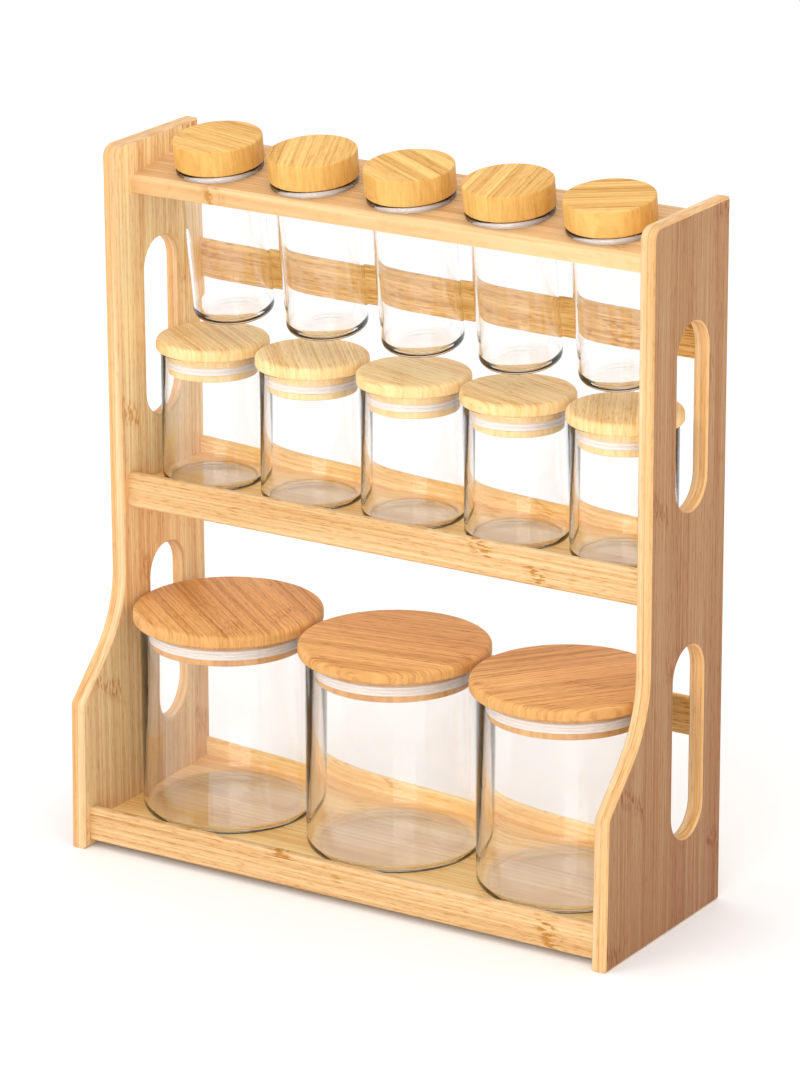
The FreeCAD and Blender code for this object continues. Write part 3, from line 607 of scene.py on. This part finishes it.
# %% The lathe
lathe = bpy.data.node_groups.new("lathe", "GeometryNodeTree")
lathe.interface.new_socket("Geometry", in_out="INPUT", socket_type="NodeSocketGeometry")
lathe.interface.new_socket("Segments", in_out="INPUT", socket_type="NodeSocketInt")
lathe.interface.new_socket("Blank turn", in_out="INPUT", socket_type="NodeSocketFloat")
lathe.interface.new_socket("Blank shift", in_out="INPUT", socket_type="NodeSocketVector")
lathe.interface.new_socket("Finish", in_out="INPUT", socket_type="NodeSocketMaterial")
lathe.interface.new_socket("Geometry", in_out="OUTPUT", socket_type="NodeSocketGeometry")
lathe_in = add_node(lathe, "NodeGroupInput")
lathe_out = add_node(lathe, "NodeGroupOutput")


def whole_number(operation, first, second):
    """An Integer Math node; first and second are sockets or whole numbers."""
    node = add_node(lathe, "FunctionNodeIntegerMath", operation=operation)
    for socket, value in zip(node.inputs, (first, second)):
        if isinstance(value, int):
            socket.default_value = value
        else:
            wire(lathe, value, socket)
    return node.outputs[0]


# %% Grid of outline points
count = add_node(lathe, "GeometryNodeAttributeDomainSize", component="MESH")
wire(lathe, lathe_in.outputs["Geometry"], count.inputs["Geometry"])
outline_points = count.outputs["Point Count"]
grid = add_node(lathe, "GeometryNodeMeshGrid")
wire(lathe, whole_number("ADD", lathe_in.outputs["Segments"], 1), grid.inputs["Vertices X"])
wire(lathe, outline_points, grid.inputs["Vertices Y"])
index = add_node(lathe, "GeometryNodeInputIndex").outputs[0]
step = whole_number("DIVIDE_FLOOR", index, outline_points)
point = whole_number("MODULO", index, outline_points)
sample = add_node(lathe, "GeometryNodeSampleIndex", data_type="FLOAT_VECTOR", domain="POINT")
wire(lathe, lathe_in.outputs["Geometry"], sample.inputs["Geometry"])
wire(lathe, add_node(lathe, "GeometryNodeInputPosition").outputs[0], sample.inputs["Value"])
wire(lathe, point, sample.inputs["Index"])
print("one row of the grid for each outline point")

# %% Bend it round
outline_place = add_node(lathe, "ShaderNodeSeparateXYZ")
wire(lathe, sample.outputs[0], outline_place.inputs[0])
angle = math_node(
    lathe, "DIVIDE", math_node(lathe, "MULTIPLY", step, 2 * math.pi), lathe_in.outputs["Segments"])
round_place = add_node(lathe, "ShaderNodeCombineXYZ")
wire(lathe, math_node(lathe, "MULTIPLY", outline_place.outputs["X"], math_node(lathe, "COSINE", angle)),
     round_place.inputs["X"])
wire(lathe, math_node(lathe, "MULTIPLY", outline_place.outputs["X"], math_node(lathe, "SINE", angle)),
     round_place.inputs["Y"])
wire(lathe, outline_place.outputs["Z"], round_place.inputs["Z"])
bent = add_node(lathe, "GeometryNodeSetPosition")
wire(lathe, grid.outputs["Mesh"], bent.inputs["Geometry"])
wire(lathe, round_place.outputs[0], bent.inputs["Position"])
closed = add_node(lathe, "GeometryNodeMergeByDistance")
closed.inputs["Distance"].default_value = 1e-6
wire(lathe, bent.outputs[0], closed.inputs["Geometry"])
print("seam and poles are merged within", 0.001, "mm")

# %% Store the place in the blank, then the finish
blank_place = add_node(lathe, "ShaderNodeVectorRotate", rotation_type="Z_AXIS")
wire(lathe, add_node(lathe, "GeometryNodeInputPosition").outputs[0], blank_place.inputs["Vector"])
wire(lathe, lathe_in.outputs["Blank turn"], blank_place.inputs["Angle"])
shifted = add_node(lathe, "ShaderNodeVectorMath", operation="ADD")
wire(lathe, blank_place.outputs[0], shifted.inputs[0])
wire(lathe, lathe_in.outputs["Blank shift"], shifted.inputs[1])
stored = add_node(
    lathe, "GeometryNodeStoreNamedAttribute", data_type="FLOAT_VECTOR", domain="POINT")
stored.inputs["Name"].default_value = "grain"
wire(lathe, closed.outputs[0], stored.inputs["Geometry"])
wire(lathe, shifted.outputs[0], stored.inputs["Value"])
smooth = add_node(lathe, "GeometryNodeSetShadeSmooth")
wire(lathe, stored.outputs[0], smooth.inputs["Geometry"])
real = add_node(lathe, "GeometryNodeRealizeInstances")
wire(lathe, smooth.outputs[0], real.inputs[0])
finished = add_node(lathe, "GeometryNodeSetMaterial")
wire(lathe, real.outputs[0], finished.inputs["Geometry"])
wire(lathe, lathe_in.outputs["Finish"], finished.inputs["Material"])
wire(lathe, finished.outputs[0], lathe_out.inputs[0])
print("lathe has", len(lathe.nodes), "nodes")

# %% [markdown]
# ## Outlines with rounded corners
# An outline is a short list of corners, each with the radius it is eased to. A Bevel modifier
# would round every edge alike, so a helper replaces each corner by an arc of its own, tangent
# to both sides. Fire-polished glass and sanded lids never have a sharp corner, and the arcs
# are what catches the light.

# %% Rounded corners
ARC_STEPS = 7


def rounded(corners):
    """Points of an outline; each corner is (radius from axis, height, easing radius)."""
    points = []
    for number, (x, z, ease) in enumerate(corners):
        here = Vector((x, z))
        if ease == 0 or number in (0, len(corners) - 1):
            points.append(here)
            continue
        before = (Vector(corners[number - 1][:2]) - here).normalized()
        after = (Vector(corners[number + 1][:2]) - here).normalized()
        half = before.angle(after) / 2
        reach = ease / math.tan(half)
        centre = here + (before + after).normalized() * (ease / math.sin(half))
        start = here + before * reach - centre
        sweep = start.angle_signed(here + after * reach - centre)
        for tick in range(ARC_STEPS + 1):
            turned_by = Matrix.Rotation(-sweep * tick / ARC_STEPS, 2)
            points.append(centre + turned_by @ start)
    return [(point.x, 0.0, point.y) for point in points]


print("an eased corner has", ARC_STEPS + 1, "points")

# %% [markdown]
# ## Where each turned piece goes
# A turned piece's solid gives its radius, its height and its axis. Bottles lean with their
# board, so the solid is measured in a frame that leans as they do. The lean comes from the
# direction in which the bottles lift out.

# %% Axes and sizes from the frame
lift = next(joint for joint in record["behaviour"]["joints"] if joint["name"] == "bottle_1_lift")
LEAN = math.atan2(-lift["axis"][1], lift["axis"][2])
print("bottles lean by", round(math.degrees(LEAN), 2), "degrees")


def measured(node, lean=0.0):
    """Matrix that carries an upright piece to its place, with the solid's radius and height."""
    upright = Matrix.Rotation(-lean, 4, "X")
    points = [upright @ vertex.co for vertex in frame["nodes"][node].data.vertices]
    low = Vector(min(point[axis] for point in points) for axis in range(3))
    high = Vector(max(point[axis] for point in points) for axis in range(3))
    middle = (low + high) / 2
    place = Matrix.Rotation(lean, 4, "X") @ Matrix.Translation((middle.x, middle.y, low.z))
    radius = (high.x - low.x) / 2
    return place, radius, high.z - low.z


# %% Turning one piece
SEGMENTS = 112
SHARP_FROM = math.radians(40)
inputs = {item.name: item.identifier for item in lathe.interface.items_tree if item.in_out == "INPUT"}


def turned_piece(name, corners, finish, place, blank_turn=0.0, blank_shift=(0.0, 0.0, 0.0)):
    """Run the lathe on an outline and leave a plain mesh in its place on the rack."""
    outline = bpy.data.meshes.new(name)
    points = rounded(corners)
    outline.from_pydata(points, [(n, n + 1) for n in range(len(points) - 1)], [])
    piece = bpy.data.objects.new(name, outline)
    scene.collection.objects.link(piece)
    modifier = piece.modifiers.new("lathe", "NODES")
    modifier.node_group = lathe
    modifier[inputs["Segments"]] = SEGMENTS
    modifier[inputs["Blank turn"]] = blank_turn
    modifier[inputs["Blank shift"]] = blank_shift
    modifier[inputs["Finish"]] = finish
    graph = bpy.context.evaluated_depsgraph_get()
    mesh = bpy.data.meshes.new_from_object(
        piece.evaluated_get(graph), preserve_all_data_layers=True, depsgraph=graph)
    piece.modifiers.clear()
    piece.data = mesh
    face_outwards(mesh)
    mesh.set_sharp_from_angle(angle=SHARP_FROM)
    mesh.transform(place)
    return piece


# %% Outward faces, and what a piece stands for
def face_outwards(mesh):
    """Turn all faces round if the closed mesh measures a negative volume."""
    work = bmesh.new()
    work.from_mesh(mesh)
    if work.calc_volume(signed=True) < 0:
        bmesh.ops.reverse_faces(work, faces=work.faces)
    work.to_mesh(mesh)
    work.free()


def fit(piece, node, body):
    """The piece stands for its solid and moves with that solid's body."""
    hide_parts(node)
    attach(piece, body)


# %% [markdown]
# ## Glass vessels
# The jars are straight cylinders with a rounded foot and a fire-polished rim. Each underside
# is hollowed by half a millimetre, so that the jar stands on a ring, and the inside floor
# rises by as much. The outsides are the solids' own, but the walls are thinner here: a thick
# wall bends what stands behind it, and through these jars the rails run almost straight.

# %% Outline of a jar
HOLLOW = 0.5 * MM
RIM_SHARE = 0.45


def jar_corners(radius, height, wall, base, base_round):
    """Outline of a straight jar, from the middle of its underside to the middle of its floor."""
    inside = radius - wall
    return [
        (0.0, HOLLOW, 0.0),
        (radius - base_round - 1.0 * MM, 0.0, 30.0 * MM),
        (radius, 0.0, base_round),
        (radius, height, wall * RIM_SHARE),
        (inside, height, wall * RIM_SHARE),
        (inside, base, base_round - wall),
        (0.0, base + HOLLOW, 0.0)]


# %% Jars and canisters: name, how many, wall, floor and the rounding of the foot
JARS = [("spice_jar", 5, 1.5 * MM, 2.4 * MM, 5 * MM), ("canister", 3, 1.8 * MM, 2.6 * MM, 6 * MM)]
for kind, amount, wall, base, base_round in JARS:
    for number in range(1, amount + 1):
        node = f"{kind}_{number}"
        place, radius, height = measured(node)
        glass = turned_piece(
            f"glass_{node}", jar_corners(radius, height, wall, base, base_round), clear_glass, place)
        fit(glass, node, node)
    print(kind, "radius", round(radius * 1000, 1), "height", round(height * 1000, 1), "mm")

# %% [markdown]
# A bottle has a collar round its mouth, wider than the hole in the board, and hangs by it.

# %% Bottles
BOTTLE_RADIUS, BOTTLE_WALL, BOTTLE_BASE = 23 * MM, 1.5 * MM, 3 * MM
COLLAR = 3.3 * MM
for number in range(1, 6):
    node = f"bottle_{number}"
    place, collar_radius, height = measured(node, LEAN)
    inside = BOTTLE_RADIUS - BOTTLE_WALL
    shoulder = height - COLLAR
    corners = [
        (0.0, HOLLOW, 0.0),
        (BOTTLE_RADIUS - 7 * MM, 0.0, 10.0 * MM),
        (BOTTLE_RADIUS, 0.0, 5.5 * MM),
        (BOTTLE_RADIUS, shoulder, 0.4 * MM),
        (collar_radius, shoulder, 0.8 * MM),
        (collar_radius, height, 1.4 * MM),
        (inside, height, 0.9 * MM),
        (inside, BOTTLE_BASE, 4.5 * MM),
        (0.0, BOTTLE_BASE + HOLLOW, 0.0)]
    glass = turned_piece(f"glass_{node}", corners, clear_glass, place)
    fit(glass, node, node)
print("bottle height", round(height * 1000, 1), "mm")

# %% [markdown]
# ## Lids and caps
# A lid is turned from a laminated bamboo blank: a disc with a softly rounded rim, a neck, a
# groove for the ring and a foot that guides it into the glass. The blanks were glued and cut
# at random, so each lid gets its own angle and its own place in the pattern.

# %% Outline of a lid
GROOVE = 1.8 * MM


def lid_corners(radius, plug_radius, thickness, seat, drop, ring, rim):
    """Outline of a lid, from the middle of its foot to the middle of its top.

    The lid sits on the glass at the height seat above its foot; the groove for the ring
    starts drop below that and is as high as the ring.
    """
    neck = plug_radius - GROOVE
    groove_high, groove_low = seat - drop, seat - drop - ring
    return [
        (0.0, 0.0, 0.0),
        (plug_radius, 0.0, 0.8 * MM),
        (plug_radius, groove_low, 0.3 * MM),
        (neck, groove_low, 0.0),
        (neck, groove_high, 0.0),
        (plug_radius, groove_high, 0.3 * MM),
        (plug_radius, seat, 0.0),
        (radius, seat, min(1.2 * MM, rim)),
        (radius, seat + thickness, rim),
        (0.0, seat + thickness, 0.0)]


# %% Lids: name, the angle of each blank, plug radius, drop and height of the groove, finish
LID_THICKNESS, PLUG_DEPTH, LID_RIM = 7 * MM, 13.2 * MM, 2.8 * MM
JAR_PLUG_RADIUS, CANISTER_PLUG_RADIUS = 26 * MM, 46 * MM
LIDS = [("spice_lid", (35, 50, 15, 20, 62), JAR_PLUG_RADIUS, 4.8 * MM, 4.6 * MM, jar_lid_bamboo),
        ("canister_lid", (38, -8, -52), CANISTER_PLUG_RADIUS, 3.8 * MM, 5.7 * MM,
         canister_lid_bamboo)]
for lid_name, lid_angles, plug_radius, drop, ring, finish in LIDS:
    for number, lid_angle in enumerate(lid_angles, start=1):
        node = f"{lid_name}_{number}"
        place, radius, height = measured(node)
        corners = lid_corners(radius, plug_radius, LID_THICKNESS, PLUG_DEPTH, drop, ring, LID_RIM)
        lid = turned_piece(
            f"turned_{node}", corners, finish, place, blank_turn=math.radians(lid_angle),
            blank_shift=(0.37 * number, 0.211 * number, 0.05 * number))
        fit(lid, node, node)
    print(lid_name, "radius", round(radius * 1000, 1), "mm")

# %% [markdown]
# A cap is the same shape with other sizes: about a third as high as it is wide, with upright
# sides, and a plug slim enough to go down the bottle's narrow mouth with its ring on.

# %% Caps
CAP_ANGLES = (12, 66, 28, 80, -25)
CAP_PLUG_RADIUS, CAP_PLUG_DEPTH = 17.4 * MM, 9 * MM
CAP_DROP, CAP_RING, CAP_RIM = 2.5 * MM, 4 * MM, 1 * MM
for number, cap_angle in enumerate(CAP_ANGLES, start=1):
    node = f"bottle_cap_{number}"
    place, radius, height = measured(node, LEAN)
    corners = lid_corners(
        radius, CAP_PLUG_RADIUS, height - CAP_PLUG_DEPTH, CAP_PLUG_DEPTH, CAP_DROP, CAP_RING, CAP_RIM)
    cap = turned_piece(
        f"turned_{node}", corners, cap_bamboo, place, blank_turn=math.radians(cap_angle),
        blank_shift=(0.29 * number, 0.173 * number, 0.07 * number))
    fit(cap, node, node)
print("cap height", round((height - CAP_PLUG_DEPTH) * 1000, 1), "mm")

# %% [markdown]
# ## Silicone rings
# A ring fills its groove and reaches for the glass with soft fins, which bend when the lid is
# pushed in. Its outline has one rounded fin for each couple of millimetres of height.

# %% Outline of a ring
FIN_DEPTH = 0.8 * MM


def ring_corners(inner, outer, height, fins):
    """Outline of a ring with rounded fins, closed on its inner side."""
    pitch = height / fins
    valley = outer - FIN_DEPTH
    corners = [(inner, 0.0, 0.0)]
    for fin in range(fins):
        low = pitch * fin
        corners += [
            (valley, low, 0.0),
            (outer, low + pitch * 0.25, pitch * 0.12),
            (outer, low + pitch * 0.75, pitch * 0.12),
            (valley, low + pitch, 0.0)]
    return corners + [(inner, height, 0.0), (inner, 0.0, 0.0)]


# %% Rings: name, the lid it moves with, how many, plug radius, lean and fins
RINGS = [("bottle_seal", "bottle_cap", 5, CAP_PLUG_RADIUS, LEAN, 2),
         ("spice_seal", "spice_lid", 5, JAR_PLUG_RADIUS, 0.0, 2),
         ("canister_seal", "canister_lid", 3, CANISTER_PLUG_RADIUS, 0.0, 3)]
for ring_name, lid_name, amount, plug_radius, lean, fins in RINGS:
    for number in range(1, amount + 1):
        node = f"{ring_name}_{number}"
        place, radius, height = measured(node, lean)
        ring = turned_piece(
            f"ring_{node}", ring_corners(plug_radius - GROOVE, radius, height, fins), silicone, place)
        fit(ring, node, f"{lid_name}_{number}")
    print(ring_name, "height", round(height * 1000, 1), "mm")

# %% [markdown]
# ## Boards
# The flat pieces keep their solids: their outlines, slots, rounded edges and bores are already
# right. Each one only gets its finish, by which way its fibres run.

# %% Board finishes
FINISHES = {
    panel_bamboo: ("side_panel_left", "side_panel_right"),
    board_bamboo: ("bottle_board",),
    shelf_bamboo_painted_light: ("middle_shelf", "bottom_shelf"),
    lip_bamboo: ("middle_front_rail", "bottom_front_rail"),
    back_rail_bamboo_painted_light: ("middle_back_rail", "bottom_back_rail"),
    slat_bamboo: ("upper_back_slat", "lower_back_slat"),
    dowel_wood: ("shelf_dowels", "rail_dowels")}
for finish, nodes in FINISHES.items():
    for node in nodes:
        board = frame["nodes"][node]
        board.data.materials.clear()
        board.data.materials.append(finish)
    print(finish.name, "on", len(nodes), "boards")

# %% [markdown]
# ## Floor
# A wide pale sheet stands in for the studio table. It is far larger than the rack, so from
# the camera's height its edge is out of view, and it is nearly white, so all that it adds is
# a soft contact shadow.

# %% Floor
FLOOR_HALF, FLOOR_LEVEL = 30.0, -0.2 * MM
floor_corners = [(side * FLOOR_HALF, end * FLOOR_HALF, FLOOR_LEVEL)
                 for side, end in ((-1, -1), (1, -1), (1, 1), (-1, 1))]
floor_mesh = bpy.data.meshes.new("studio_floor")
floor_mesh.from_pydata(floor_corners, [], [(0, 1, 2, 3)])
floor = bpy.data.objects.new("studio_floor", floor_mesh)
scene.collection.objects.link(floor)
print("floor", 2 * FLOOR_HALF, "m wide")

# %% Paper
paper, tree, shader = new_material("studio_paper")
shader.inputs["Roughness"].default_value = 0.9
source = add_node(tree, "ShaderNodeTexCoord")
fleck = add_node(tree, "ShaderNodeTexNoise")
fleck.inputs["Scale"].default_value = 60.0
wire(tree, source.outputs["Object"], fleck.inputs["Vector"])
tint = mix_colours(tree, fleck.outputs["Fac"], (0.93, 0.93, 0.93, 1.0), (0.96, 0.96, 0.96, 1.0))
wire(tree, tint.outputs["Result"], shader.inputs["Base Color"])
floor_mesh.materials.append(paper)
print("paper has", len(tree.nodes), "nodes")
